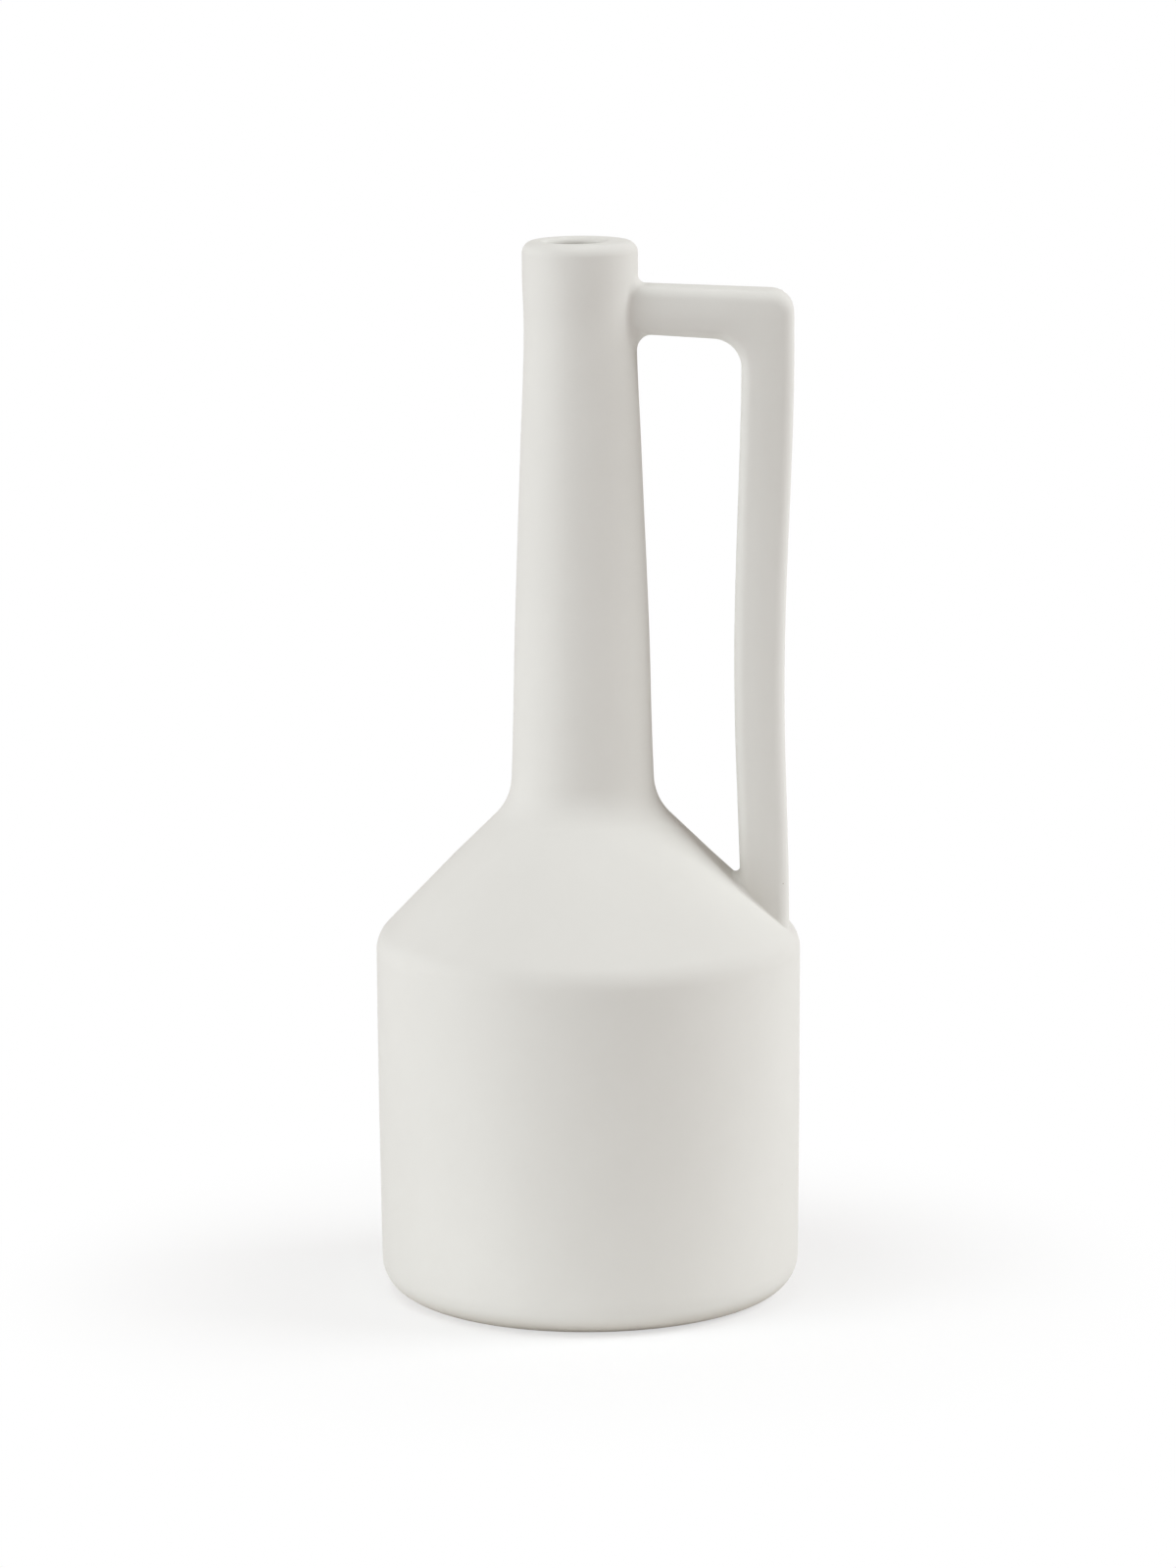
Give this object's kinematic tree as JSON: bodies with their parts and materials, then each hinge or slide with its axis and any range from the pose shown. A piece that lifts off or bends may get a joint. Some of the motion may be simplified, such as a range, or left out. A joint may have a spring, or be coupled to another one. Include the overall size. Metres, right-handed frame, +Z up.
{
  "type": "ceramic bottle vase with one handle",
  "caption": "Matte ceramic bottle vase: cylindrical body, conical shoulder, long tapered neck with a small mouth, and one squared handle from neck to shoulder.",
  "frame": {"origin": "centre of the body on the surface the vase stands on", "axes": "+Z up along the body's axis, +X towards the handle; the plane Y = 0 halves the vase"},
  "size_m": [0.1404, 0.1404, 0.35],
  "materials": {
    "matte_clay": "fully matte, powdery, off-white with a fine grain",
    "bare_foot": "matte off-white clay, bare and slightly warmer on the foot ring",
    "inner_glaze": "thin smooth satin glaze on the inside"
  },
  "bodies": {
    "root": {"foot_disc": "bare_foot", "body_wall": "matte_clay", "shoulder": "matte_clay", "neck": "matte_clay", "handle_arm": "matte_clay", "handle_post": "matte_clay", "glaze_lining": "inner_glaze"}
  },
  "joints": []
}
